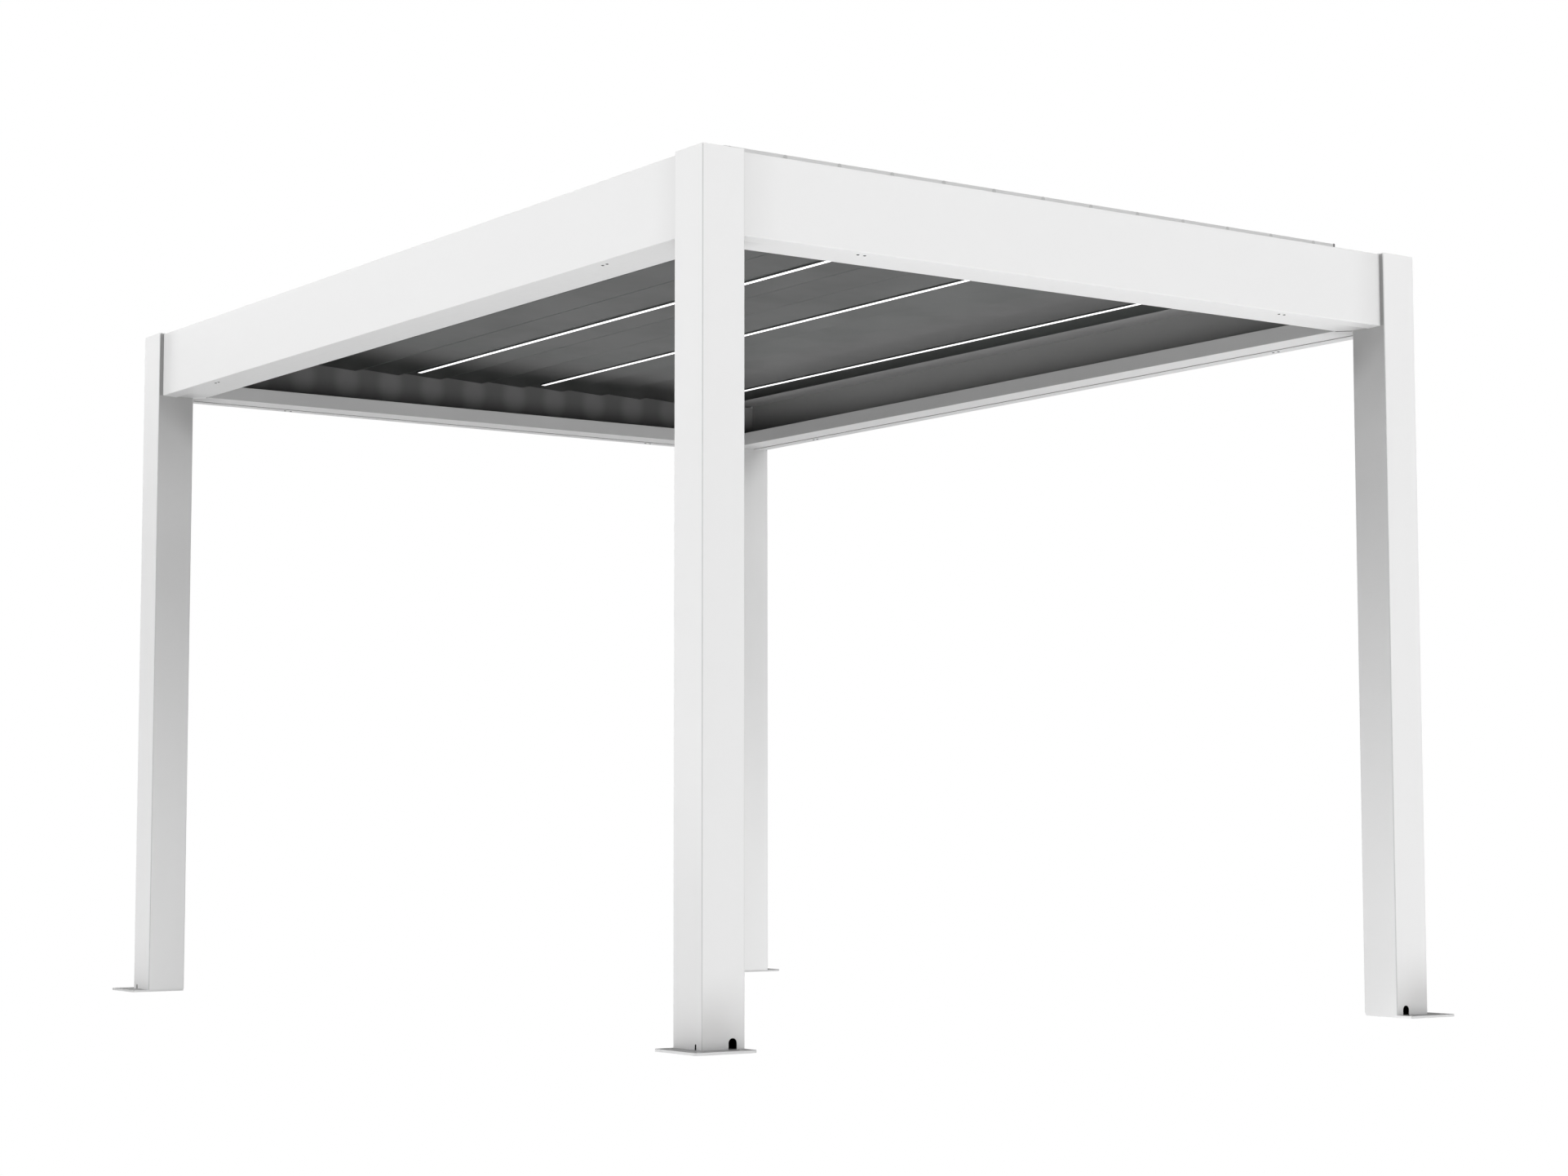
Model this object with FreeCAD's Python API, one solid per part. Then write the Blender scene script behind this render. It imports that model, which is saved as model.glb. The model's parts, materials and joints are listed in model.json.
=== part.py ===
import FreeCAD, Part
import os
from math import cos, hypot, pi, sin

V = FreeCAD.Vector

# Overall sizes, outside face to outside face of the posts
span_x = 3010.0
span_y = 4100.0
post_top = 2650.0

# Posts, caps and base plates
post_side = 150.0
post_wall = 3.0
post_edge = 3.0
cap_thick = 3.0
cap_skirt = 12.0
cap_wall = 3.0
cap_play = 0.2
notch_clear = 8.0
plate_thick = 8.0
plate_reach = 66.0
plate_edge = 6.0
anchor_radius = 7.0
anchor_inset = 33.0

# Openings at the foot and the head of each post
outlet_width = 29.0
outlet_top = 40.0
outlet_place = 107.0
slit_width = 8.0
slit_top = 25.0
slit_place = 32.0
inlet_width = 40.0
inlet_height = 34.0

# Gutter beams: outer chamber, open gutter and inner lip
beam_height = 252.0
beam_width = 174.0
beam_wall = 3.0
beam_set_back = 18.0
beam_drop = 3.0
beam_round = 1.5
chamber_width = 64.0
lip_height = 56.0
lip_return = 9.0
ledge_reach = 6.0
groove_width = 3.0

# Louver blades
blade_pitch = 204.5
blade_gap = 7.0
blade_skin = 2.0
pivot_drop = 37.0
crown_left = 20.0
crown_right = 16.0
belly_left = -16.5
belly_low = -26.5
nose_run = 27.0
nose_top = 10.0
channel_width = 18.0
lip_over = 19.75
lip_turn = 14.0
rib_place = 26.0
blade_back_gap = 10.0
end_cap = 5.0

# Shafts, bushes, cranks and the drive bar
shaft_radius = 7.0
shaft_play = 0.1
shaft_past_wall = 10.0
bush_side = 20.0
bush_flange_side = 28.0
bush_flange_thick = 2.0
bush_past_wall = 3.0
crank_x = -70.0
crank_z = 61.0
crank_foot = 14.0
crank_round = 7.0
crank_pin_radius = 4.0
crank_pin_play = 0.3
pin_past_bar = 1.0
bar_height = 14.0
bar_thick = 5.0
bar_clear = 5.0
bar_past_start = 20.0
bar_past_end = 104.0

# Light strips
led_from_ends = (1, 5)
led_width = 30.0
led_thick = 3.0
led_inset = 10.75
led_end_gap = 75.0

# Fixed closing profiles beside the blade field
closing_skin = 2.0
closing_left_width = 36.5
closing_right_least = 60.0

# Pins and bores are drawn with this many flat sides, save the front shafts and the first crank's pin
pin_sides = 12

# Levels, faces and the row of pivots that follow from the sizes above
half_x = span_x / 2
half_y = span_y / 2
beam_top = post_top - beam_drop
beam_base = beam_top - beam_height
pivot_height = beam_top - pivot_drop
notch_base = pivot_height + belly_left - notch_clear
lip_face = beam_set_back + beam_width
wall_face = beam_set_back + chamber_width + beam_wall
front_wall_y = -half_y + wall_face
back_wall_y = half_y - wall_face
bar_front_y = front_wall_y + bar_clear
bar_back_y = bar_front_y + bar_thick
blade_front_y = bar_back_y + bar_clear
blade_back_y = back_wall_y - blade_back_gap
edge_x = (blade_pitch - blade_gap) / 2
field_left = -half_x + wall_face + closing_left_width + blade_gap
field_right_most = half_x - wall_face - closing_right_least
blade_count = int((field_right_most - field_left) / blade_pitch)
pivot_x = [field_left + edge_x + blade_pitch * i for i in range(blade_count)]
led_blades = [n for k in led_from_ends for n in (k + 1, blade_count + 1 - k)]


def face_of(points):
    corners = [V(*p) for p in points]
    return Part.Face(Part.makePolygon(corners + corners[:1]))


def prism_y(points, y_from, y_to):
    """A closed outline in the XZ plane, pushed along Y."""
    return face_of([(x, y_from, z) for x, z in points]).extrude(V(0, y_to - y_from, 0))


def prism_z(points, z_from, z_to):
    return face_of([(x, y, z_from) for x, y in points]).extrude(V(0, 0, z_to - z_from))


def box(x0, y0, z0, x1, y1, z1):
    return Part.makeBox(x1 - x0, y1 - y0, z1 - z0, V(x0, y0, z0))


def round_rod(radius, x, z, y_from, y_to):
    return Part.makeCylinder(radius, y_to - y_from, V(x, y_from, z), V(0, 1, 0))


def sided_pin(radius, x, z, y_from, y_to):
    """A pin along Y with flat sides, its corners on the radius."""
    angles = [2 * pi * i / pin_sides for i in range(pin_sides)]
    return prism_y([(x + radius * cos(a), z + radius * sin(a)) for a in angles], y_from, y_to)


def sided_bore(radius, x, z, y_from, y_to):
    """The cut for a bore along Y, its flats on the radius."""
    return sided_pin(radius / cos(pi / pin_sides), x, z, y_from, y_to)


def long_edges(shape, axis, test):
    """The straight edges along one axis whose midpoint passes the test."""
    found = []
    for edge in shape.Edges:
        ends = [v.Point for v in edge.Vertexes]
        if len(ends) == 2 and abs((ends[1] - ends[0]).normalize().dot(axis)) > 0.999:
            if test((ends[0] + ends[1]) * 0.5):
                found.append(edge)
    return found


def to_corner(shape, right, back):
    """A piece drawn at the front left corner, mirrored to another corner."""
    if right:
        shape = shape.mirror(V(0, 0, 0), V(1, 0, 0))
    if back:
        shape = shape.mirror(V(0, 0, 0), V(0, 1, 0))
    return shape


def arch(width, top, centre, base):
    """A door-like outline with a round head, as (across, up) points along its edge."""
    radius = width / 2
    steps = 12
    head = [(centre + radius * cos(pi * i / steps), top - radius + radius * sin(pi * i / steps))
            for i in range(steps + 1)]
    return [(centre + radius, base)] + head + [(centre - radius, base)]


def head_plan(inset):
    """The post's L-shaped plan above its notch, drawn this far inside its faces."""
    near, step, far = inset, wall_face - inset, post_side - inset
    return [(a - half_x, b - half_y) for a, b in
            ((near, near), (far, near), (far, step), (step, step), (step, far), (near, far))]


def post():
    """A square tube; over the gutter its inner corner is notched to let the blade field pass."""
    x0, y0 = -half_x, -half_y
    x1, y1 = x0 + post_side, y0 + post_side
    head = post_top - cap_thick
    tube = box(x0, y0, plate_thick, x1, y1, head)
    tube = tube.makeFillet(post_edge, long_edges(tube, V(0, 0, 1), lambda m: True))
    tube = tube.cut(box(x0 + wall_face, y0 + wall_face, notch_base, x1, y1, head))
    tube = tube.cut(box(x0 + post_wall, y0 + post_wall, plate_thick,
                        x1 - post_wall, y1 - post_wall, notch_base - post_wall))
    tube = tube.cut(prism_z(head_plan(post_wall), plate_thick, head))
    outlet = prism_y(arch(outlet_width, outlet_top, x0 + outlet_place, 0), y0 - 1, y0 + post_wall + 1)
    slit = face_of([(x0 - 1, a, z) for a, z in arch(slit_width, slit_top, y0 + slit_place, 0)])
    slit = slit.extrude(V(post_wall + 2, 0, 0))
    tube = tube.cut(outlet).cut(slit)
    inlet_mid = (wall_face + post_side - post_wall) / 2
    near, far = inlet_mid - inlet_width / 2, inlet_mid + inlet_width / 2
    inside, outside = post_side - post_wall - 1, post_side + 1
    low = beam_base + beam_wall
    for a0, b0, a1, b1 in ((inside, near, outside, far), (near, inside, far, outside)):
        tube = tube.cut(box(x0 + a0, y0 + b0, low, x0 + a1, y0 + b1, low + inlet_height))
    return tube


def post_cap():
    under = post_top - cap_thick
    lid = prism_z(head_plan(0), under, post_top)
    outer = long_edges(lid, V(0, 0, 1), lambda m: m.x < 1 - half_x or m.y < 1 - half_y)
    hold = post_wall + cap_play
    skirt = prism_z(head_plan(hold), under - cap_skirt, under)
    skirt = skirt.cut(prism_z(head_plan(hold + cap_wall), under - cap_skirt, under))
    return lid.makeFillet(post_edge, outer).fuse(skirt).removeSplitter()


def base_plate():
    x0, y0 = -half_x - plate_reach, -half_y - plate_reach
    side = post_side + plate_reach
    plate = box(x0, y0, 0, x0 + side, y0 + side, plate_thick)
    plate = plate.makeChamfer(plate_edge, long_edges(plate, V(0, 0, 1), lambda m: True))
    far = side - anchor_inset
    for a, b in ((anchor_inset, anchor_inset), (far, anchor_inset), (anchor_inset, far)):
        plate = plate.cut(Part.makeCylinder(anchor_radius, plate_thick, V(x0 + a, y0 + b, 0)))
    return plate


def beam_section():
    """The beam's section as (inward, up) points, from its outer face."""
    low, t = beam_base, beam_wall
    inner = chamber_width + t
    ledge = low + t
    return [(0, low), (0, beam_top), (inner, beam_top), (inner, low + t),
            (beam_width - t, low + t), (beam_width - t, low + lip_height - t),
            (beam_width - lip_return, low + lip_height - t), (beam_width - lip_return, low + lip_height),
            (beam_width, low + lip_height), (beam_width, low), (chamber_width, low),
            (chamber_width, ledge), (chamber_width - ledge_reach, ledge),
            (chamber_width - ledge_reach, ledge + t), (chamber_width, ledge + t),
            (chamber_width, beam_top - t), (t, beam_top - t), (t, ledge + t),
            (t + ledge_reach, ledge + t), (t + ledge_reach, ledge), (t, ledge), (t, low)]


def beam(length, pivots):
    """A beam along X behind the front faces of two posts; its inner corners are mitred."""
    blank = face_of([(0, beam_set_back + u, z) for u, z in beam_section()]).extrude(V(length, 0, 0))
    outer = long_edges(blank, V(1, 0, 0), lambda m: m.y < beam_set_back + 0.1 and
                       (m.z < beam_base + 0.1 or m.z > beam_top - 0.1))
    lip = long_edges(blank, V(1, 0, 0), lambda m: m.y > lip_face - 0.1)
    blank = blank.makeFillet(beam_round, outer + lip)
    plan = [(post_side, 0), (length - post_side, 0), (length - post_side, post_side),
            (length - lip_face, lip_face), (lip_face, lip_face), (post_side, post_side)]
    piece = blank.common(prism_z(plan, 0, post_top))
    half = bush_side / 2
    for x in pivots:
        piece = piece.cut(box(x - half, wall_face - beam_wall, pivot_height - half,
                              x + half, wall_face, pivot_height + half))
    return piece


def cover(length):
    y0 = beam_set_back + beam_wall
    y1 = beam_set_back + chamber_width - groove_width
    return box(post_side, y0, beam_base, length - post_side, y1, beam_base + beam_wall)


def place(shape, turn, x, y):
    moved = shape.copy()
    moved.rotate(V(0, 0, 0), V(0, 0, 1), turn)
    moved.translate(V(x, y, 0))
    return moved


def on_sides(front_piece, side_piece):
    """The same piece along all four sides: front, back, left, right."""
    return [place(front_piece, 0, -half_x, -half_y), place(front_piece, 180, half_x, half_y),
            place(side_piece, -90, -half_x, half_y), place(side_piece, 90, half_x, -half_y)]


def belly(x):
    """Height of a blade's underside above its pivot, between its left edge and its lowest line."""
    low_x = edge_x - nose_run
    return belly_left + (belly_low - belly_left) * (x + edge_x) / (low_x + edge_x)


def crown(x):
    """Height of a blade's top face, which falls towards its rain channel."""
    fall = crown_right - crown_left
    return crown_left + fall * (x + edge_x) / (2 * edge_x - channel_width - blade_skin)


def blade_outline():
    """Outer outline about the pivot: lip on the left, rain channel on the right."""
    t = blade_skin
    wall = edge_x - t - channel_width - t
    rise = (belly_left - belly_low) / nose_run
    low_x = edge_x - nose_run
    floor = lambda x: belly_low + rise * (x - low_x) + t
    lip_x, lip_z = -edge_x - lip_over, crown_left - lip_turn - t
    return [(-edge_x, belly_left), (low_x, belly_low), (edge_x, belly_left), (edge_x, nose_top),
            (edge_x - t, nose_top), (edge_x - t, floor(edge_x - t)), (wall + t, floor(wall + t)),
            (wall + t, crown(wall + t)), (-edge_x, crown_left), (lip_x, crown_left), (lip_x, lip_z),
            (lip_x + t, lip_z), (lip_x + t, crown_left - t), (-edge_x, crown_left - t)]


def blade_voids():
    """Hollow cells between the skins, split by two ribs beside the shaft."""
    t = blade_skin
    wall = edge_x - t - channel_width - t
    low_x = edge_x - nose_run
    cells = []
    for x0, x1 in ((-edge_x + t, -rib_place), (-rib_place + t, rib_place - t), (rib_place, low_x)):
        cells.append([(x0, belly(x0) + t), (x1, belly(x1) + t), (x1, crown(x1) - t), (x0, crown(x0) - t)])
    last = cells[-1]
    cells[-1] = last[:2] + [(wall, belly_low + t + 1), (wall, crown(wall) - t)] + last[3:]
    return cells


def at_pivot(points, x):
    return [(px + x, pz + pivot_height) for px, pz in points]


def crank(x):
    """The arm on the front end cap, from the shaft up to its pin in the drive bar."""
    reach = hypot(crank_x, crank_z)
    along = (crank_x / reach, crank_z / reach)
    across = (along[1], -along[0])
    outline = [(side * crank_foot * across[0], side * crank_foot * across[1]) for side in (-1, 1)]
    for i in range(5):
        turn = pi * i / 4
        outline.append([c + crank_round * (cos(turn) * q + sin(turn) * w)
                        for c, w, q in zip((crank_x, crank_z), along, across)])
    arm = prism_y(at_pivot(outline, x), blade_front_y, blade_front_y + end_cap)
    pin = round_rod if x == pivot_x[0] else sided_pin
    return arm.fuse(pin(crank_pin_radius, x + crank_x, pivot_height + crank_z,
                        bar_front_y - pin_past_bar, blade_front_y))


def blade(x):
    outline = at_pivot(blade_outline(), x)
    shell = prism_y(outline, blade_front_y, blade_back_y)
    for cell in blade_voids():
        shell = shell.cut(prism_y(at_pivot(cell, x), blade_front_y + end_cap, blade_back_y - end_cap))
    past_walls = beam_wall + shaft_past_wall
    front = round_rod(shaft_radius, x, pivot_height, front_wall_y - past_walls, blade_front_y)
    back = sided_pin(shaft_radius, x, pivot_height, blade_back_y, back_wall_y + past_walls)
    return shell.fuse([front, back, crank(x)]).removeSplitter()


def led_strip(x):
    x0 = -edge_x + led_inset
    x1 = x0 + led_width
    points = [(x0, belly(x0)), (x1, belly(x1)), (x1, belly(x1) - led_thick), (x0, belly(x0) - led_thick)]
    return prism_y(at_pivot(points, x), blade_front_y + led_end_gap, blade_back_y - led_end_gap)


def drive_bar():
    z = pivot_height + crank_z
    bar = box(pivot_x[0] + crank_x - bar_past_start, bar_front_y, z - bar_height / 2,
              pivot_x[-1] + crank_x + bar_past_end, bar_back_y, z + bar_height / 2)
    for x in pivot_x:
        bore = round_rod if x == pivot_x[0] else sided_bore
        bar = bar.cut(bore(crank_pin_radius + crank_pin_play, x + crank_x, z, bar_front_y, bar_back_y))
    return bar


def bush(x, wall_y, inward):
    """A square bush set in a chamber wall; inward is +1 on the front beam and -1 on the back beam."""
    body, flange = bush_side / 2, bush_flange_side / 2
    far_y = wall_y - inward * (beam_wall + bush_past_wall)
    near_y = wall_y + inward * bush_flange_thick
    blocks = []
    for half, y in ((flange, near_y), (body, far_y)):
        low, high = min(y, wall_y), max(y, wall_y)
        blocks.append(box(x - half, low, pivot_height - half, x + half, high, pivot_height + half))
    bore = sided_bore(shaft_radius + shaft_play, x, pivot_height, min(near_y, far_y), max(near_y, far_y))
    return blocks[0].fuse(blocks[1]).cut(bore)


def closing_left():
    """A rain channel along the left beam, under the first blade's lip."""
    t = closing_skin
    x0 = -half_x + wall_face
    x1 = x0 + closing_left_width
    z0, z1 = pivot_height + belly_left, pivot_height + nose_top
    points = [(x0, z0), (x1, z0), (x1, z1), (x1 - t, z1), (x1 - t, z0 + t), (x0 + t, z0 + t),
              (x0 + t, z1), (x0, z1)]
    return prism_y(points, blade_front_y, blade_back_y)


def closing_right():
    """A fixed hollow profile along the right beam, with its lip over the last blade's channel."""
    t = closing_skin
    x0 = pivot_x[-1] + edge_x + blade_gap
    x1 = half_x - wall_face
    z0, z1 = pivot_height + belly_left, pivot_height + crown_left
    tip = z1 - lip_turn - t
    outline = [(x0, z0), (x1, z0), (x1, z1), (x0 - lip_over, z1), (x0 - lip_over, tip),
               (x0 - lip_over + t, tip), (x0 - lip_over + t, z1 - t), (x0, z1 - t)]
    hollow = [(x0 + t, z0 + t), (x1 - t, z0 + t), (x1 - t, z1 - t), (x0 + t, z1 - t)]
    return prism_y(outline, blade_front_y, blade_back_y).cut(prism_y(hollow, blade_front_y, blade_back_y))


nodes = {}
corners = {"front_left": (False, False), "front_right": (True, False),
           "back_left": (False, True), "back_right": (True, True)}
for name, (right, back) in corners.items():
    nodes["post_" + name] = to_corner(post(), right, back)
nodes["post_caps"] = Part.makeCompound([to_corner(post_cap(), *side) for side in corners.values()])
nodes["base_plates"] = Part.makeCompound([to_corner(base_plate(), *side) for side in corners.values()])

pivots_from_left = [x + half_x for x in pivot_x]
pivots_from_right = [half_x - x for x in pivot_x]
front, _, left, right = on_sides(beam(span_x, pivots_from_left), beam(span_y, []))
back = place(beam(span_x, pivots_from_right), 180, half_x, half_y)
nodes.update({"beam_front": front, "beam_back": back, "beam_left": left, "beam_right": right})
nodes["beam_covers"] = Part.makeCompound(on_sides(cover(span_x), cover(span_y)))
nodes["closing_left"] = closing_left()
nodes["closing_right"] = closing_right()
nodes["pivot_bushes"] = Part.makeCompound(
    [bush(x, wall_y, inward) for x in pivot_x for wall_y, inward in ((front_wall_y, 1), (back_wall_y, -1))])
nodes["drive_bar"] = drive_bar()
for number, x in enumerate(pivot_x, 1):
    nodes["blade_%02d" % number] = blade(x)
    if number in led_blades:
        nodes["led_strip_%02d" % number] = led_strip(x)

os.makedirs("parts", exist_ok=True)
for name, shape in nodes.items():
    if not shape.isValid():
        print("not valid:", name)
    shape.exportStep("parts/%s.step" % name)
print(len(nodes), "nodes")
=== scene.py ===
import json
from math import cos, pi, radians, sin

import bmesh
import bpy
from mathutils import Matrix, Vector


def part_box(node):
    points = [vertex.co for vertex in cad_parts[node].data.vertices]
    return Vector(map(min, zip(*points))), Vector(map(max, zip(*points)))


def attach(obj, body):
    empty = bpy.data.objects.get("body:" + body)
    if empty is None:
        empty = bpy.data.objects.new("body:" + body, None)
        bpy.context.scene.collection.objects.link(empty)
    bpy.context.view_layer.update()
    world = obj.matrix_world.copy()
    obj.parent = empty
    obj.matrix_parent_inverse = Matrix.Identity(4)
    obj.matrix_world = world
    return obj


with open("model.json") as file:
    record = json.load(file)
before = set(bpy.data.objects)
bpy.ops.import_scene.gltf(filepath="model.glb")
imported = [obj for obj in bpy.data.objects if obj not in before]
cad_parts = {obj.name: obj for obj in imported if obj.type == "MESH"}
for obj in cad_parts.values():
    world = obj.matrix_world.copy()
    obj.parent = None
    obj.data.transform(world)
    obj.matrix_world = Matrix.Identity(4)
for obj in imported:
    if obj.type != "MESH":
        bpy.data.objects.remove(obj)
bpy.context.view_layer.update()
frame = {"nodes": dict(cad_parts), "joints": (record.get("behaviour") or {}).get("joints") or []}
nodes = frame["nodes"]
scene = bpy.context.scene
print("frame loaded:", len(nodes), "nodes")


# camera and light

view = {
    "place": (-6.1657, -9.0061, 0.6285),
    "yaw": 34.567,           # degrees from +Y towards +X
    "pitch": 4.833,          # degrees above the horizon
    "lens": 66.59,
    "sensor": 36.0,
    "shiftX": 0.0282,
    "farthest": 200.0,
}

lights = {
    "sky": 0.08,             # even white light from all around
    "daylight": (0.9, 25.0),     # from straight above: strength and angle
    "panels": {              # place, width, height and power of each soft panel
        "panelFront": ((4.0, -14.0, 7.5), 9.0, 6.0, 835.0),
        "panelLeft": ((-13.0, 2.2, 7.5), 9.0, 6.0, 1030.0),
        "panelBack": ((-1.0, 15.0, 7.5), 9.0, 6.0, 800.0),
        "panelRight": ((15.0, 0.0, 7.5), 9.0, 6.0, 780.0),
    },
}


def addCamera():
    lens = bpy.data.cameras.new("photoCamera")
    lens.sensor_width = view["sensor"]
    lens.sensor_fit = "HORIZONTAL"
    lens.lens = view["lens"]
    lens.shift_x = view["shiftX"]
    lens.clip_end = view["farthest"]
    camera = bpy.data.objects.new("photoCamera", lens)
    scene.collection.objects.link(camera)
    camera.location = view["place"]
    camera.rotation_euler = (radians(90 + view["pitch"]), 0, radians(-view["yaw"]))
    scene.camera = camera


def addLamp(name, kind, power):
    lamp = bpy.data.lights.new(name, kind)
    lamp.energy = power
    holder = bpy.data.objects.new(name, lamp)
    scene.collection.objects.link(holder)
    return lamp, holder


def addLights():
    world = bpy.data.worlds.new("softStudio")
    world.use_nodes = True
    sky = world.node_tree.nodes["Background"]
    sky.inputs["Color"].default_value = (1, 1, 1, 1)
    sky.inputs["Strength"].default_value = lights["sky"]
    scene.world = world
    scene.view_settings.view_transform = "Standard"

    for name, (place, width, height, power) in lights["panels"].items():
        lamp, panel = addLamp(name, "AREA", power)
        lamp.shape = "RECTANGLE"
        lamp.size, lamp.size_y = width, height
        panel.location = place
        level = Vector((-place[0], -place[1], 0.0))
        panel.rotation_euler = level.to_track_quat("-Z", "Y").to_euler()
        panel.visible_camera = False

    power, angle = lights["daylight"]
    lamp, _ = addLamp("daylight", "SUN", power)
    lamp.angle = radians(angle)


addCamera()
addLights()
print("camera and light ready")


# a small way to write shader nodes as sums

class Wire:
    def __init__(self, paint, socket):
        self.paint, self.socket = paint, socket

    def maths(self, operation, first, second=0.0, **settings):
        return self.paint.maths(operation, first, second, **settings)

    def __add__(self, other):
        return self.maths("ADD", self, other)

    def __sub__(self, other):
        return self.maths("SUBTRACT", self, other)

    def __rsub__(self, other):
        return self.maths("SUBTRACT", other, self)

    def __mul__(self, other):
        return self.maths("MULTIPLY", self, other)

    def __gt__(self, other):
        return self.maths("GREATER_THAN", self, other)

    def __lt__(self, other):
        return self.maths("LESS_THAN", self, other)

    def __abs__(self):
        return self.maths("ABSOLUTE", self)

    __radd__ = __add__
    __rmul__ = __mul__

    def within(self, low, high):
        return (self > low) * (self < high)

    def fromNearest(self, step):          # how far it is to the nearest multiple of the step
        return self.maths("PINGPONG", self, step / 2)

    def kept(self):                       # held between 0 and 1
        return self.maths("ADD", self, 0.0, use_clamp=True)


class Paint:
    def __init__(self, name, **fixed):
        self.material = bpy.data.materials.new(name)
        self.material.use_nodes = True
        self.tree = self.material.node_tree
        self.shader = self.tree.nodes["Principled BSDF"]
        self.place = self.node("ShaderNodeTexCoord", output="Object")
        self.set(**fixed)

    def node(self, kind, settings=None, inputs=None, output=0):
        made = self.tree.nodes.new(kind)
        for key, value in (settings or {}).items():
            setattr(made, key, value)
        for key, value in (inputs or {}).items():
            self.feed(made.inputs[key], value)
        return Wire(self, made.outputs[output])

    def feed(self, socket, value):
        if isinstance(value, Wire):
            self.tree.links.new(value.socket, socket)
        else:
            socket.default_value = value

    def set(self, **values):
        for socket, value in values.items():
            self.feed(self.shader.inputs[socket.replace("_", " ")], value)
        return self.material

    def maths(self, operation, first, second=0.0, **settings):
        return self.node("ShaderNodeMath", {"operation": operation, **settings},
                         {0: first, 1: second})

    def axes(self):
        return [self.node("ShaderNodeSeparateXYZ", inputs={0: self.place}, output=i)
                for i in range(3)]

    def facing(self, axis):               # how much the surface faces along one axis of its own
        normal = self.node("ShaderNodeTexCoord", output="Normal")
        return self.node("ShaderNodeSeparateXYZ", inputs={0: normal}, output=axis)

    def stretched(self, sizes):           # the place, stretched so that noise becomes streaks
        return self.node("ShaderNodeVectorMath", {"operation": "MULTIPLY"},
                         {0: self.place, 1: sizes})

    def noise(self, scale, detail=3.0, roughness=0.5, place=None):
        return self.node("ShaderNodeTexNoise", inputs={
            "Vector": place or self.place, "Scale": scale, "Detail": detail,
            "Roughness": roughness})

    def between(self, value, low, high, atLow=0.0, atHigh=1.0):    # eased from one value to another
        return self.node("ShaderNodeMapRange", {"interpolation_type": "SMOOTHSTEP"},
                         {0: value, 1: low, 2: high, 3: atLow, 4: atHigh})

    def mixed(self, share, first, second):
        return self.node("ShaderNodeMix", {"data_type": "RGBA"},
                         {0: share, 6: first, 7: second}, output=2)

    def darker(self, colour, share):
        return self.mixed(share, colour, grey(0.0))

    def lighter(self, colour, share):
        return self.mixed(share, colour, grey(1.0))

    def bump(self, height, strength, distance):
        return self.node("ShaderNodeBump", inputs={
            "Height": height, "Strength": strength, "Distance": distance})


def grey(value):
    return (value, value, value, 1.0)


# settings for between: from one place or noise level to another, then from one value to another
# (0 to 1 where none is given); settings for noise: scale, detail and roughness

# sizes that several finishes share, in metres

posts = {
    "x": 1.430,              # the posts' middles
    "y": 1.975,
    "half": 0.075,
    "outerX": 1.505,
    "outerY": 2.050,
    "beamBase": 2.395,       # the height of the beams' undersides
    "skin": 0.0005,          # a point this near a face is on it
}


def toOuter(x, y):           # how far inside the posts' outer faces
    return posts["outerX"] - abs(x), posts["outerY"] - abs(y)


def toInner(x, y):           # and how far from the posts' inner faces, towards the middle
    return posts["x"] - posts["half"] - abs(x), posts["y"] - posts["half"] - abs(y)


# white powder coat on the posts, beams, covers and caps

whiteCoat = {
    "colour": grey(0.86),
    "clouded": grey(0.80),
    "cloud": (2.2, 4.0),
    "cloudShare": (0.35, 0.75, 0.0, 0.06),
    "shine": 0.45,
    "fine": (35.0, 5.0, 0.6),
    "roughness": (0.3, 0.8, 0.38, 0.50),
    "peel": (420.0, 2.0),        # the fine orange peel of the coat
    "peelBump": (0.25, 0.00012),     # its strength and depth
}


def startWhite(name, **fixed):
    paint = Paint(name, Specular_IOR_Level=whiteCoat["shine"], **fixed)
    cloud = paint.noise(*whiteCoat["cloud"])
    share = paint.between(cloud, *whiteCoat["cloudShare"])
    return paint, cloud, paint.mixed(share, whiteCoat["colour"], whiteCoat["clouded"])


def peel(paint):
    return paint.bump(paint.noise(*whiteCoat["peel"]), *whiteCoat["peelBump"])


def endWhite(paint, colour):
    rough = paint.between(paint.noise(*whiteCoat["fine"]), *whiteCoat["roughness"])
    return paint.set(Base_Color=colour, Roughness=rough, Normal=peel(paint))


def paintCover():
    paint, _, colour = startWhite("whiteCoverCoat")
    return endWhite(paint, colour)


# the posts: painted shade at the foot, and painted light and shade on the faces under the roof

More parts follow.
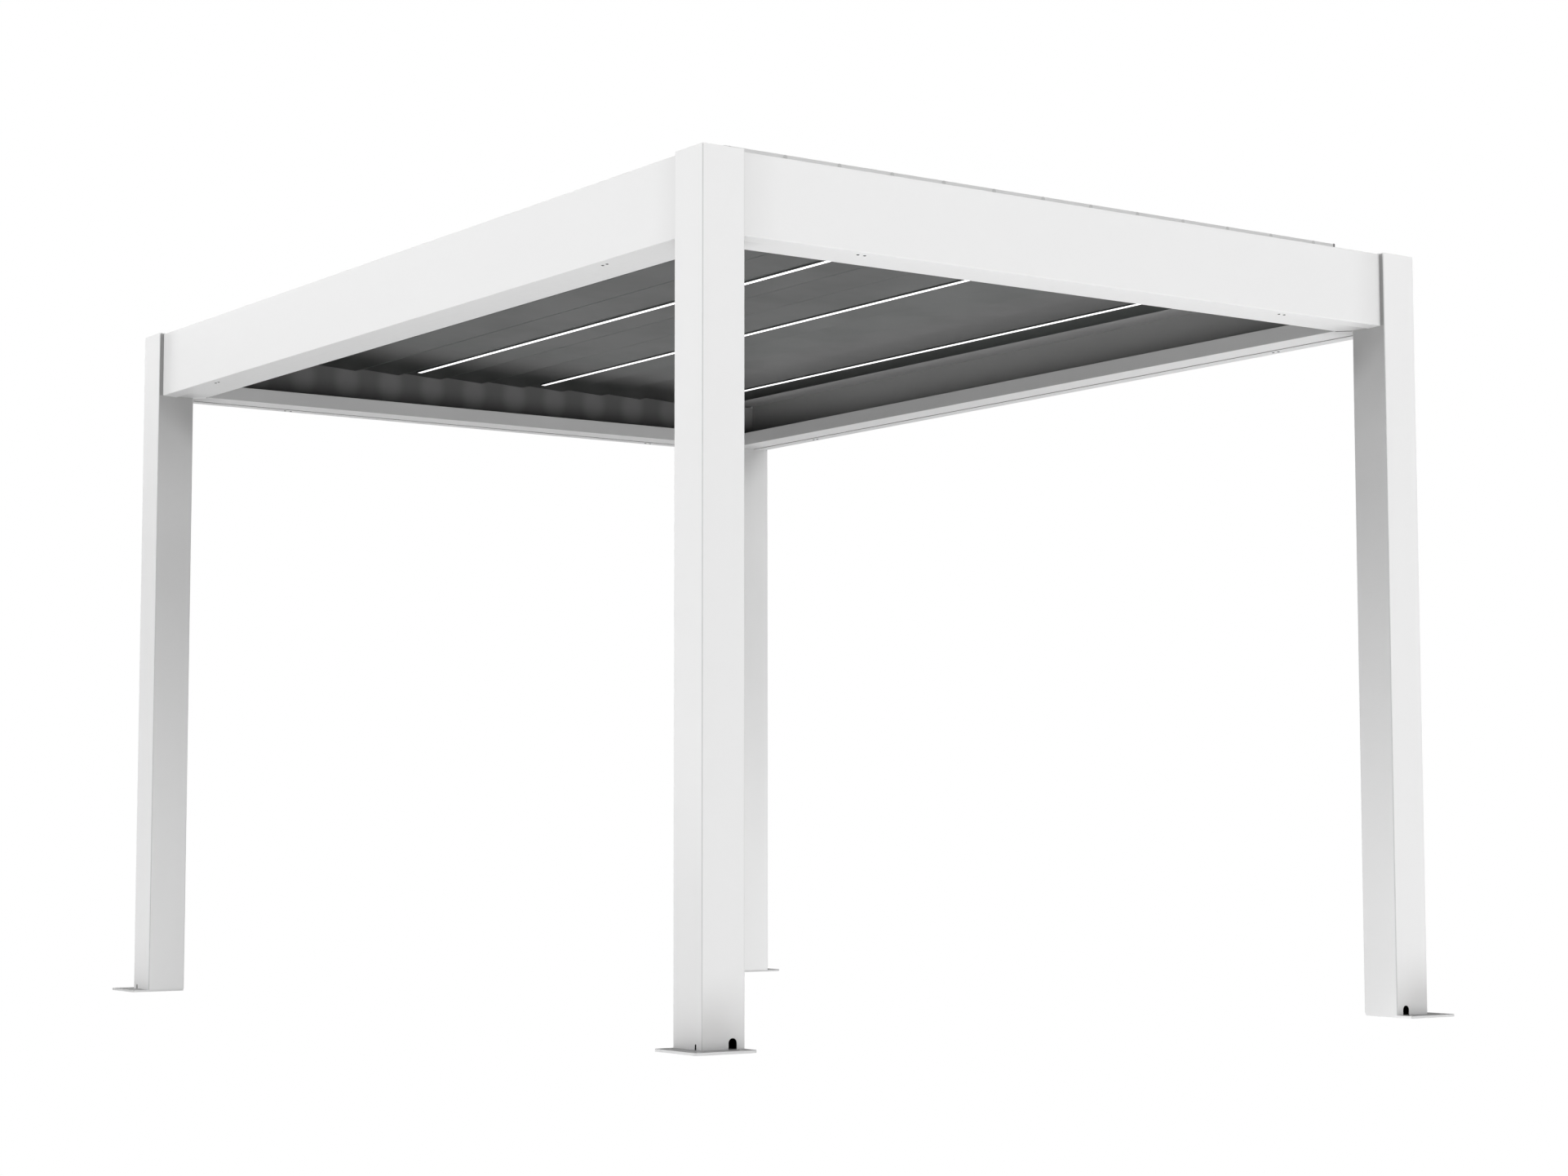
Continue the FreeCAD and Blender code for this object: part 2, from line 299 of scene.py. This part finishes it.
postCoat = {
    # painted shade at the foot of the posts, mostly on their front faces
    "dust": (0.47, 0.46, 0.45, 1.0),
    "dustMost": 0.50,
    "dustOnSides": 0.22,         # share of it on the faces along the sides
    "dustCloud": 0.10,
    "dustZ": (0.02, 0.30, 1.0, 0.0),
    "dustX": (1.37, 1.47, 0.55, 1.0),
    "dustFoot": (0.0, 0.09),
    "roofShade": (1.9, 2.4, 0.0, 0.30),      # painted shade on the inner faces, up the post and painted light on them, down it painted shade in the corner of an inner face, under the beams
    "floorLift": (1.6, 0.2, 0.0, 0.62),      # and down it
    "cornerShade": (2.27, 2.45, 0.0, 0.28),  # the dark corner of an inner face, under the beams
    "cornerSlope": 0.8,
    "lessRoof": 0.45,            # both are weaker on the back right post
    "lessCorner": 0.40,
    "sideShade": (0.95, 0.2, 0.0, 0.10),     # painted shade on the front posts' side faces, down the post and painted light on the back posts'
    "sideLift": (1.9, 0.1, 0.0, 0.62),       # and the back posts'
    "glowZ": (2.0, -0.4),        # a painted glow on the back posts' inner faces, standing in for light from the floor
    "glowX": (-1.4, 1.4, 0.08, 0.225),
    "glowDepth": 0.1495,
    "recess": grey(0.34),        # painted shade beside the beams, which stand back from the posts' faces
    "recessDepth": 0.020,
    "gutterLow": grey(0.10),     # painted shade on the part of an inner face that the beams' gutters hide
    "gutterHigh": grey(0.40),
    "gutterZ": (2.45, 2.57),
    "edge": grey(0.66),          # painted shade on the posts' rounded edges
    "edgeWidth": 0.0028,
    "hollow": grey(0.012),       # painted shade inside the posts, behind the outlet and the slit
    "hollowDepth": 0.0003,
    "hollowTop": 0.1,
}


def paintPost():
    paint, cloud, colour = startWhite("whitePostCoat", Emission_Strength=1.0)
    x, y, z = paint.axes()
    depthX, depthY = toOuter(x, y)
    depth = paint.maths("MINIMUM", depthX, depthY)
    innerX, innerY = toInner(x, y)
    inner = ((innerX > -posts["skin"]) + (innerY > -posts["skin"])).kept()
    onSide = depthX < posts["skin"]
    atBack = y > 0.0
    backRight = (x > 0.0) * atBack

    # painted shade at the foot
    outer = ((depthY < posts["skin"]) + postCoat["dustOnSides"] * onSide).kept()
    dust = outer * paint.between(z + postCoat["dustCloud"] * cloud, *postCoat["dustZ"])
    dust = dust * paint.between(abs(x), *postCoat["dustX"])
    dust = dust * paint.between(z, *postCoat["dustFoot"])
    colour = paint.mixed(dust * postCoat["dustMost"], colour, postCoat["dust"])

    # painted shade and painted light on the inner faces
    shade = inner * paint.between(z, *postCoat["roofShade"])
    colour = paint.darker(colour, shade * (1.0 - postCoat["lessRoof"] * backRight))
    colour = paint.lighter(colour, inner * paint.between(z, *postCoat["floorLift"]))
    shade = inner * paint.between(z + postCoat["cornerSlope"] * depth, *postCoat["cornerShade"])
    colour = paint.darker(colour, shade * (1.0 - postCoat["lessCorner"] * backRight))
    # painted shade and painted light on the side faces
    colour = paint.darker(colour, onSide * (y < 0.0) * paint.between(z, *postCoat["sideShade"]))
    colour = paint.lighter(colour, onSide * atBack * paint.between(z, *postCoat["sideLift"]))
    # painted glow: the back posts' inner faces give light of their own
    glow = paint.between(z, *postCoat["glowZ"]) * paint.between(x, *postCoat["glowX"])
    glow = glow * atBack * (depthY > postCoat["glowDepth"])
    paint.set(Emission_Color=paint.lighter(grey(0.0), glow))

    # painted shade beside the beams and in the gutters
    byBeam = inner * (z > posts["beamBase"])
    colour = paint.mixed(byBeam, colour, postCoat["recess"])
    gutterShade = paint.mixed(paint.between(z, *postCoat["gutterZ"]),
                           postCoat["gutterLow"], postCoat["gutterHigh"])
    colour = paint.mixed(byBeam * (depth > postCoat["recessDepth"]), colour, gutterShade)

    # painted shade on the rounded edges
    awayX, awayY = abs(abs(x) - posts["x"]), abs(abs(y) - posts["y"])
    rounded = posts["half"] - postCoat["edgeWidth"]
    edge = (awayX > rounded) * (awayY > rounded)
    colour = paint.mixed(edge, colour, postCoat["edge"])
    # painted shade inside the hollow posts
    face = posts["half"] - postCoat["hollowDepth"]
    hollow = (awayX < face) * (awayY < face) * (1.0 - edge) * (z < postCoat["hollowTop"])
    return endWhite(paint, paint.mixed(hollow, colour, postCoat["hollow"]))


# the gutter beams: white outside, with painted shade in the gutter, in the groove, on the lip,
# under the beams and beside the posts, and painted highlights on the end walls

gutter = {
    "wall": 0.0835,          # how far inside the posts' outer faces the gutter begins
    "lip": 0.1905,           # and where the lip's face is
    "base": 2.402,
    "endTone": grey(0.133),      # painted shade inside the front and back gutters, darker lower down
    "endDeep": (2.45, 2.55, 0.62, 1.0),
    "sideTone": grey(0.315),     # painted shade inside the left and right gutters, darker towards the back and lower down
    "sideBack": (0.8, 1.85),
    "sideDeep": (2.47, 2.60, 0.62, 0.15),
    # painted shade on the lips' inner faces
    "endLip": grey(0.62),
    "sideLip": grey(0.58),
    "lipZ": (2.3965, 2.455),
    # painted shade in the covers' groove
    "groove": grey(0.10),
    "grooveDepth": (0.0785, 0.0825),
    "grooveZ": (2.3953, 2.3990),
    "mitre": grey(0.30),     # the line where two beams meet, and half its width
    "mitreHalf": 0.0022,
    "underTop": 2.396,       # the undersides lie below this height
    # painted shade under the left, right and back beams
    "underShade": {"front": 0.0, "back": 0.16, "left": 0.12, "right": 0.10},
    "nearPost": (0.0, 0.16, 1.0, 0.0),
    "cornerShade": 0.22,     # painted shade under the beams, next to a post painted shade on the beams' outer faces, next to a post
    "faceShade": 0.07,       # on the beams' outer faces, next to a post
    "patchStep": 0.2045,     # a painted highlight for each blade on the end walls
    "patchFirst": -0.0155,
    "patchHeight": 2.543,
    "patchSize": 0.085,
    "patchFlat": 0.7,
    "patchGain": 0.075,
}


# painted highlights on the gutters' end walls, one for each blade
def paintHighlights(paint, x, z, shadedTone):
    across = (x - gutter["patchFirst"]).fromNearest(gutter["patchStep"])
    up = gutter["patchFlat"] * (z - gutter["patchHeight"])
    highlight = paint.between(across * across + up * up, 0.0, gutter["patchSize"] ** 2, 1.0, 0.0)
    return paint.lighter(shadedTone, highlight * highlight * gutter["patchGain"])


def paintBeam(side, underShade):
    paint, _, colour = startWhite("white" + side.title() + "BeamCoat")
    x, y, z = paint.axes()
    depthX, depthY = toOuter(x, y)
    innerX, innerY = toInner(x, y)
    # painted shade inside the gutters
    if side in ("front", "back"):
        depth, toPost, lipShade = depthY, innerX, gutter["endLip"]
        shadedTone = paint.mixed(paint.between(z, *gutter["endDeep"]), grey(0.0), gutter["endTone"])
        shadedTone = paintHighlights(paint, x, z, shadedTone)
    else:
        depth, toPost, lipShade = depthX, innerY, gutter["sideLip"]
        shade = paint.between(y, *gutter["sideBack"]) * paint.between(z, *gutter["sideDeep"])
        shadedTone = paint.darker(gutter["sideTone"], shade)
    inside = depth.within(gutter["wall"], gutter["lip"]) * (z > gutter["base"])
    colour = paint.mixed(inside, colour, shadedTone)
    # painted shade on the lip
    colour = paint.mixed((depth > gutter["lip"]) * z.within(*gutter["lipZ"]), colour, lipShade)
    # painted shade in the groove
    groove = depth.within(*gutter["grooveDepth"]) * z.within(*gutter["grooveZ"])
    colour = paint.mixed(groove, colour, gutter["groove"])
    # painted shade under the beams and beside the posts
    under = z < gutter["underTop"]
    mitre = abs(depthX - depthY) < gutter["mitreHalf"]
    colour = paint.mixed(mitre * under, colour, gutter["mitre"])
    colour = paint.darker(colour, under * underShade)
    shade = under * gutter["cornerShade"] + (1.0 - under) * gutter["faceShade"]
    return endWhite(paint, paint.darker(colour, paint.between(toPost, *gutter["nearPost"]) * shade))


# anthracite coat on the louver blades, with plastic end caps and steel shafts, and painted light
# and shade on the blades' sides and undersides

anthraciteCoat = {
    "colour": (0.037, 0.0415, 0.040, 1.0),
    "worn": (0.041, 0.0455, 0.044, 1.0),
    "cloud": (1.4, 3.0, 0.5),
    "streaks": (1.0, 0.4, 1.0),
    "cloudShare": (0.3, 0.75),
    "fine": (3.0, 3.0),
    "roughness": (0.3, 0.75, 0.33, 0.39),
    "grain": (900.0, 2.0),
    "grainBump": (0.3, 0.0001),
    "shine": 0.5,
    "upright": 0.8,          # how much a side faces sideways, and an underside down
    "downward": -0.2,
    "seam": (0.222, 0.249, 0.240, 1.0),      # painted light on the blades' upright sides, up to this height, against the shade in the seams
    "seamTop": 2.5985,
    "pale": grey(0.062),     # painted light under blades 11 and 12, and just before the back ends
    "paleX": (0.55, 0.85),
    "paleY": (1.15, 1.40),
    "paleEnd": (1.62, 1.74, 1.0, 0.0),
    "lastFrom": 1.06,        # where the last blade begins
    "leftX": (-0.1, 0.5, 0.50, 0.0),         # painted shade: the undersides on the left are darker
    "leftY": (0.9, 1.2, 1.0, 0.0),
    "backY": (1.36, 1.78, 0.0, 0.60),        # and painted shade darkens all of them at the back ends
    "lastY": (-1.4, 1.6),    # painted shade darkens the last blade's underside all along it
    "lastShade": 0.78,
    "cap": (0.022, 0.023, 0.024, 1.0),
    "capY": (-1.9451, 1.9501),   # the end caps lie outside these two planes
    "capRough": 0.12,
    "steel": (0.62, 0.62, 0.61, 1.0),
    "crankY": -1.9501,       # the crank and the back shaft
    "crankRough": 0.08,
    "shaftY": 1.9551,
    "shaftRough": -0.16,
}


def paintAnthracite(name, lastShade):
    coat = anthraciteCoat
    paint = Paint(name, Specular_IOR_Level=coat["shine"])
    x, y, z = paint.axes()
    cloud = paint.noise(*coat["cloud"], paint.stretched(coat["streaks"]))
    colour = paint.mixed(paint.between(cloud, *coat["cloudShare"]), coat["colour"], coat["worn"])
    rough = paint.between(paint.noise(*coat["fine"]), *coat["roughness"])

    # painted light on the upright sides, against the shade in the seams
    seam = (abs(paint.facing(0)) > coat["upright"]) * (z < coat["seamTop"])
    colour = paint.mixed(seam, colour, coat["seam"])
    under = paint.facing(2) < coat["downward"]
    # painted light under blades 11 and 12 and before the back ends
    toBack = paint.between(y, *coat["paleY"]) * paint.between(y, *coat["paleEnd"])
    paintedLightShare = paint.maths("MAXIMUM", paint.between(x, *coat["paleX"]), toBack)
    colour = paint.mixed(under * paintedLightShare * (x < coat["lastFrom"]), colour, coat["pale"])
    # painted shade under the blades on the left
    left = paint.between(x, *coat["leftX"]) * paint.between(y, *coat["leftY"])
    colour = paint.darker(colour, under * left)
    # painted shade on the last blade's underside
    colour = paint.darker(colour, under * paint.between(y, *coat["lastY"], 0.0, lastShade))
    # painted shade at the back ends
    colour = paint.darker(colour, under * paint.between(y, *coat["backY"]))

    capFront, capBack = coat["capY"]
    cap = (y < capFront) + (y > capBack)
    crank, shaft = y < coat["crankY"], y > coat["shaftY"]
    colour = paint.mixed(cap, colour, coat["cap"])
    colour = paint.mixed(crank + shaft, colour, coat["steel"])
    rough = rough + coat["capRough"] * cap + coat["crankRough"] * crank + coat["shaftRough"] * shaft
    grain = paint.noise(*coat["grain"])
    return paint.set(Base_Color=colour, Roughness=rough, Metallic=shaft,
                     Normal=paint.bump(grain, *coat["grainBump"]))


# the closings beside the blade field, anthracite above, with painted light that makes them paler
# below

closingCoat = {
    "cloud": (2.0, 3.0),
    "pale": (grey(0.45), grey(0.52)),
    "roughness": (0.3, 0.7, 0.38, 0.46),
    "upward": 0.3,
}


def paintClosing():
    paint = Paint("closingCoat", Specular_IOR_Level=whiteCoat["shine"])
    cloud = paint.noise(*closingCoat["cloud"])
    _, _, z = paint.axes()
    upward = paint.facing(2) > closingCoat["upward"]
    # painted light: below the top, the closings are paler than the anthracite
    below = (z < anthraciteCoat["seamTop"]) * (1.0 - upward)
    pale = paint.mixed(cloud, *closingCoat["pale"])
    return paint.set(Base_Color=paint.mixed(below, anthraciteCoat["worn"], pale),
                     Roughness=paint.between(cloud, *closingCoat["roughness"]), Normal=peel(paint))


# the drive bar, brushed along its length

barMetal = {
    "streaks": (0.05, 6.0, 6.0),
    "brush": (90.0, 6.0, 0.65),
    "share": (0.3, 0.7),
    "tones": (grey(0.70), grey(0.78)),
    "roughness": (0.2, 0.8, 0.30, 0.48),
    "bump": (0.15, 0.0002),
    "shine": 0.5,
}


def paintBar():
    paint = Paint("barMetal", Specular_IOR_Level=barMetal["shine"])
    brushed = paint.noise(*barMetal["brush"], paint.stretched(barMetal["streaks"]))
    share = paint.between(brushed, *barMetal["share"])
    return paint.set(Base_Color=paint.mixed(share, *barMetal["tones"]),
                     Roughness=paint.between(brushed, *barMetal["roughness"]),
                     Normal=paint.bump(brushed, *barMetal["bump"]))


# the base plates, with painted shade on top and painted light on the rims at the posts' inner faces

plateCoat = {
    "cloud": (18.0, 5.0, 0.6),
    "sides": (grey(0.72), grey(0.95)),       # their rims, and with painted light those at the posts' inner faces
    "topShare": (0.35, 0.7),
    # painted shade on the plates' tops
    "top": (grey(0.25), grey(0.30)),
    "upward": (0.8, 0.95),
    "roughness": (0.3, 0.7, 0.50, 0.62),
    "shine": 0.4,
    "near": 0.001,
}


def paintPlate():
    paint = Paint("plateCoat", Specular_IOR_Level=plateCoat["shine"])
    cloud = paint.noise(*plateCoat["cloud"])
    x, y, _ = paint.axes()
    innerX, innerY = toInner(x, y)
    inner = ((innerX > -plateCoat["near"]) + (innerY > -plateCoat["near"])).kept()
    # painted light on the inner rims
    side = paint.mixed(inner, *plateCoat["sides"])
    top = paint.mixed(paint.between(cloud, *plateCoat["topShare"]), *plateCoat["top"])
    up = paint.between(paint.facing(2), *plateCoat["upward"])
    return paint.set(Base_Color=paint.mixed(up, side, top),
                     Roughness=paint.between(cloud, *plateCoat["roughness"]), Normal=peel(paint))


# light strips under four blades

lightStrip = {
    "power": 1.15,
    "tape": 0.0083,          # one diode behind the diffuser every so many metres
    "width": 0.030,
    "rim": 0.006,            # dark rim along each side of the diffuser
    "glow": (grey(0.93), grey(1.0)),
    "tones": (grey(0.88), grey(0.92)),
    "grain": 300.0,
    "roughness": (0.3, 0.7, 0.35, 0.45),
    "shine": 0.4,
}


def paintLight(name):
    low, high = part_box(name)
    paint = Paint(name + "_diffuser", Emission_Strength=lightStrip["power"],
                  Specular_IOR_Level=lightStrip["shine"])
    x, y, _ = paint.axes()
    ripple = paint.maths("SINE", y * (2 * pi / lightStrip["tape"]))
    shade = paint.between(ripple, -1.0, 1.0)
    lit = abs(x - (low.x + high.x) / 2) < lightStrip["width"] / 2 - lightStrip["rim"]
    glow = paint.mixed(lit, grey(0.0), paint.mixed(shade, *lightStrip["glow"]))
    body = paint.mixed(lit, anthraciteCoat["colour"], paint.mixed(shade, *lightStrip["tones"]))
    rough = paint.between(paint.noise(lightStrip["grain"]), *lightStrip["roughness"])
    return paint.set(Base_Color=body, Emission_Color=glow, Roughness=rough)


# bushes, and the finish that they share with the small pieces

bushPlastic = {
    "grain": (700.0, 3.0),
    "share": (0.4, 0.6),
    "tones": (grey(0.016), grey(0.028)),
    "roughness": (0.3, 0.7, 0.45, 0.60),
    "bump": (0.4, 0.0001),
    "shine": 0.5,
}


def paintGrainy(name, look):
    paint = Paint(name, Specular_IOR_Level=look["shine"])
    grain = paint.noise(*look["grain"])
    share = paint.between(grain, *look["share"]) if "share" in look else grain
    if "bump" in look:
        paint.set(Normal=paint.bump(grain, *look["bump"]))
    return paint.set(Base_Color=paint.mixed(share, *look["tones"]),
                     Roughness=paint.between(grain, *look["roughness"]))


def dressNodes():
    white, post, closing = paintCover(), paintPost(), paintClosing()
    blade = paintAnthracite("anthraciteCoat", 0.0)
    finishes = {"post_caps": white, "beam_covers": white, "base_plates": paintPlate(),
                "closing_left": closing, "closing_right": closing, "drive_bar": paintBar(),
                "pivot_bushes": paintGrainy("blackPlastic", bushPlastic),
                "blade_13": paintAnthracite("anthraciteCoatLast", anthraciteCoat["lastShade"])}
    for side, underShade in gutter["underShade"].items():
        finishes["beam_" + side] = paintBeam(side, underShade)
    for name, node in nodes.items():
        if name.startswith("led_strip_"):
            finishes[name] = paintLight(name)
        elif name not in finishes:
            finishes[name] = post if name.startswith("post_") else blade
        for slot in node.material_slots:
            slot.material = finishes[name]
    print("finishes ready:", len(set(finishes.values())))


dressNodes()


# floor and backdrop: the camera sees an even white, and a hidden floor sends light back up

stage = {
    "size": 60.0,
    "seenLevel": -0.001,
    "bounceLevel": -0.002,
    "domeRadius": 45.0,
    "domeSides": (32, 16),
    "roofX": (0.9, 1.9, 1.0, 0.0),   # from under the roof to outside
    "roofY": (1.4, 2.4, 1.0, 0.0),
    "bounce": (grey(0.66), grey(0.50)),      # what it sends back, outside and under the roof
    "glow": 0.70,
    "glowY": (3.2, -3.0, 0.16, 1.0),
    "glowLost": 0.78,                # under the roof
}


def paintStage(name, **look):
    return Paint(name, Roughness=1.0, Specular_IOR_Level=0.0, Emission_Strength=1.0, **look)


def paintBounce():
    paint = paintStage("stageBounce")
    x, y, _ = paint.axes()
    inside = paint.between(abs(x), *stage["roofX"]) * paint.between(abs(y), *stage["roofY"])
    glow = paint.between(y, *stage["glowY"]) * (1.0 - stage["glowLost"] * inside) * stage["glow"]
    return paint.set(Base_Color=paint.mixed(inside, *stage["bounce"]),
                     Emission_Color=paint.lighter(grey(0.0), glow))


def addStage(name, bm, material, onlySeen):
    mesh = bpy.data.meshes.new(name)
    bm.to_mesh(mesh)
    bm.free()
    mesh.materials.append(material)
    shown = bpy.data.objects.new(name, mesh)
    scene.collection.objects.link(shown)
    for ray in ("diffuse", "glossy", "transmission", "volume_scatter", "shadow"):
        setattr(shown, "visible_" + ray, not onlySeen)
    shown.visible_camera = onlySeen


def square(height):
    bm = bmesh.new()
    half = stage["size"] / 2
    corners = ((-1, -1), (1, -1), (1, 1), (-1, 1))
    bm.faces.new([bm.verts.new((half * a, half * b, height)) for a, b in corners])
    return bm


def addBackdrop():
    dome = bmesh.new()
    sides, levels = stage["domeSides"]
    bmesh.ops.create_uvsphere(dome, u_segments=sides, v_segments=levels,
                              radius=stage["domeRadius"])
    white = paintStage("stageWhite", Base_Color=grey(0.0), Emission_Color=grey(1.0)).material
    addStage("backdrop", dome, white, True)
    addStage("floorSeen", square(stage["seenLevel"]), white, True)
    addStage("floorBounce", square(stage["bounceLevel"]), paintBounce(), False)
    print("floor and backdrop ready")


addBackdrop()


# small pieces

def addPiece(name, bm, material, body):
    bmesh.ops.recalc_face_normals(bm, faces=bm.faces)
    mesh = bpy.data.meshes.new(name)
    bm.to_mesh(mesh)
    bm.free()
    mesh.materials.append(material)
    piece = bpy.data.objects.new(name, mesh)
    scene.collection.objects.link(piece)
    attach(piece, body)


def around(radius, sides):
    turns = [2 * pi * i / sides for i in range(sides)]
    return [(radius * cos(turn), radius * sin(turn)) for turn in turns]


def joinRings(bm, rings):
    for first, second in zip(rings, rings[1:]):
        for i in range(len(first)):
            j = (i + 1) % len(first)
            bm.faces.new((first[i], first[j], second[j], second[i]))


def addStrip(bm, rings):
    joinRings(bm, rings)
    bm.faces.new(rings[0])
    bm.faces.new(rings[1][::-1])


# the covers' inner edges, and the lines where the beams' undersides meet

coverEdge = {
    "profile": (             # depth inside the posts' outer faces, and height over the undersides
        (0.0185, 0.0005), (0.0185, -0.0006), (0.0189, -0.0010),
        (0.0781, -0.0026), (0.0785, -0.0022), (0.0785, 0.0005)),
    "mitreDepths": (0.151, 0.1915),          # from the post to the inner lip
    "mitreProfile": ((0.0, 0.0005), (0.0, -0.0026), (0.0006, -0.0026), (0.016, 0.0005)),
    "slant": 0.7071,         # the corner lines lie at 45 degrees
    "frontTo": -1.9,
    "shade": 0.12,           # painted shade on the left, right and back beams
    # painted shade on the covers' step faces
    "stepFrom": 0.0385,
    "stepFacing": 0.6,
    "step": grey(0.30),
    "roughness": (0.3, 0.7, 0.36, 0.46),
}


def paintEdges():
    paint, cloud, colour = startWhite("whiteEdgeCoat")
    x, y, _ = paint.axes()
    # painted shade on the far beams and on the step faces
    colour = paint.darker(colour, (y > coverEdge["frontTo"]) * coverEdge["shade"])
    inner = paint.maths("MINIMUM", *toOuter(x, y)) > coverEdge["stepFrom"]
    step = inner * (abs(paint.facing(2)) < coverEdge["stepFacing"])
    return paint.set(Base_Color=paint.mixed(step, colour, coverEdge["step"]),
                     Roughness=paint.between(cloud, *coverEdge["roughness"]))


def addCoverEdges():
    bm = bmesh.new()
    level = posts["beamBase"]
    endX, endY = posts["x"] - posts["half"], posts["y"] - posts["half"]
    for side in (-1, 1):
        addStrip(bm, [[bm.verts.new((along, side * (posts["outerY"] - depth), level + rise))
                       for depth, rise in coverEdge["profile"]] for along in (-endX, endX)])
    for side in (-1, 1):
        addStrip(bm, [[bm.verts.new((side * (posts["outerX"] - depth), along, level + rise))
                       for depth, rise in coverEdge["profile"]] for along in (-endY, endY)])
    for sideX, sideY in ((-1, -1), (-1, 1), (1, -1), (1, 1)):
        rings = []
        for depth in coverEdge["mitreDepths"]:
            ring = []
            for aside, rise in coverEdge["mitreProfile"]:
                aside *= coverEdge["slant"]
                ring.append(bm.verts.new((sideX * (posts["outerX"] - depth + aside),
                                          sideY * (posts["outerY"] - depth - aside), level + rise)))
            rings.append(ring)
        addStrip(bm, rings)
    addPiece("cover_edges", bm, paintEdges(), "frame")


addCoverEdges()


# screw heads under the covers, in pairs

screws = {
    "radius": 0.0050,
    "rise": 0.0020,
    "profile": (             # shares of the radius and of the height, into the socket
        (1.0, 0.0), (1.0, 0.35), (0.86, 0.75), (0.62, 1.0), (0.4, 1.0), (0.4, 0.2)),
    "sides": 20,
    "fromEdge": 0.052,       # from the posts' outer faces
    "alongX": (-0.898, -0.872, 0.896, 0.921),
    "alongY": (-1.439, -1.413, 1.438, 1.466),
    "level": 2.3935,
    "grain": (1500.0, 2.0),
    "tones": (grey(0.035), grey(0.06)),
    "roughness": (0.3, 0.7, 0.42, 0.55),
    "shine": 0.4,
}


def screwHead(bm, x, y):
    rings = [[bm.verts.new((x + a, y + b, screws["level"] - screws["rise"] * drop))
              for a, b in around(screws["radius"] * share, screws["sides"])]
             for share, drop in screws["profile"]]
    joinRings(bm, rings)
    bm.faces.new(rings[-1])


def addScrews():
    bm = bmesh.new()
    toX, toY = posts["outerX"] - screws["fromEdge"], posts["outerY"] - screws["fromEdge"]
    for side in (-1, 1):
        for along in screws["alongX"]:
            screwHead(bm, along, side * toY)
        for along in screws["alongY"]:
            screwHead(bm, side * toX, along)
    addPiece("cover_screws", bm, paintGrainy("screwSteel", screws), "frame")


addScrews()


# a washer on each crank pin, in front of the drive bar

clips = {
    "crank": (-0.070, 0.061),    # from the blade's hinge to its pin
    "profile": (                 # radius, and share of the thickness
        (0.0038, 0.0), (0.0075, 0.0), (0.0075, 0.7), (0.0067, 1.0), (0.0038, 1.0)),
    "thick": 0.0007,
    "sides": 18,
    "seat": -1.96004,            # the bar's front face
    "grain": (1200.0, 2.0),
    "tones": (grey(0.58), grey(0.66)),
    "roughness": (0.3, 0.7, 0.50, 0.60),
    "shine": 0.6,
}


def addClips():
    steel = paintGrainy("clipSteel", clips)
    for joint in frame["joints"]:
        if not joint["name"].startswith("louver_"):
            continue
        bm = bmesh.new()
        x, z = joint["pos_m"][0] + clips["crank"][0], joint["pos_m"][2] + clips["crank"][1]
        rings = [[bm.verts.new((x + a, clips["seat"] - clips["thick"] * out, z + b))
                  for a, b in around(radius, clips["sides"])] for radius, out in clips["profile"]]
        joinRings(bm, rings + rings[:1])
        blade = joint["name"].split("_")[1]
        addPiece("pin_clip_" + blade, bm, steel, joint["child"])


addClips()


# the plastic cap on the drive bar's right end

barEnd = {
    "low": (1.2035, -1.9612, 2.6630),
    "high": (1.2122, -1.9538, 2.6790),
    "rounding": 0.0012,
    "steps": 3,
    "grain": (700.0, 3.0),
    "share": (0.4, 0.6),
    "tones": (grey(0.22), grey(0.26)),
    "roughness": (0.3, 0.7, 0.48, 0.60),
    "shine": 0.45,
}


def addBarEnd():
    bm = bmesh.new()
    bmesh.ops.create_cube(bm, size=1.0)
    for vert in bm.verts:
        vert.co = [low + (high - low) * (c + 0.5)
                   for low, high, c in zip(barEnd["low"], barEnd["high"], vert.co)]
    bmesh.ops.bevel(bm, geom=bm.edges[:], offset=barEnd["rounding"], segments=barEnd["steps"],
                    affect="EDGES")
    addPiece("bar_end_cap", bm, paintGrainy("barEndPlastic", barEnd), "drive_bar")


addBarEnd()
print("small pieces ready")
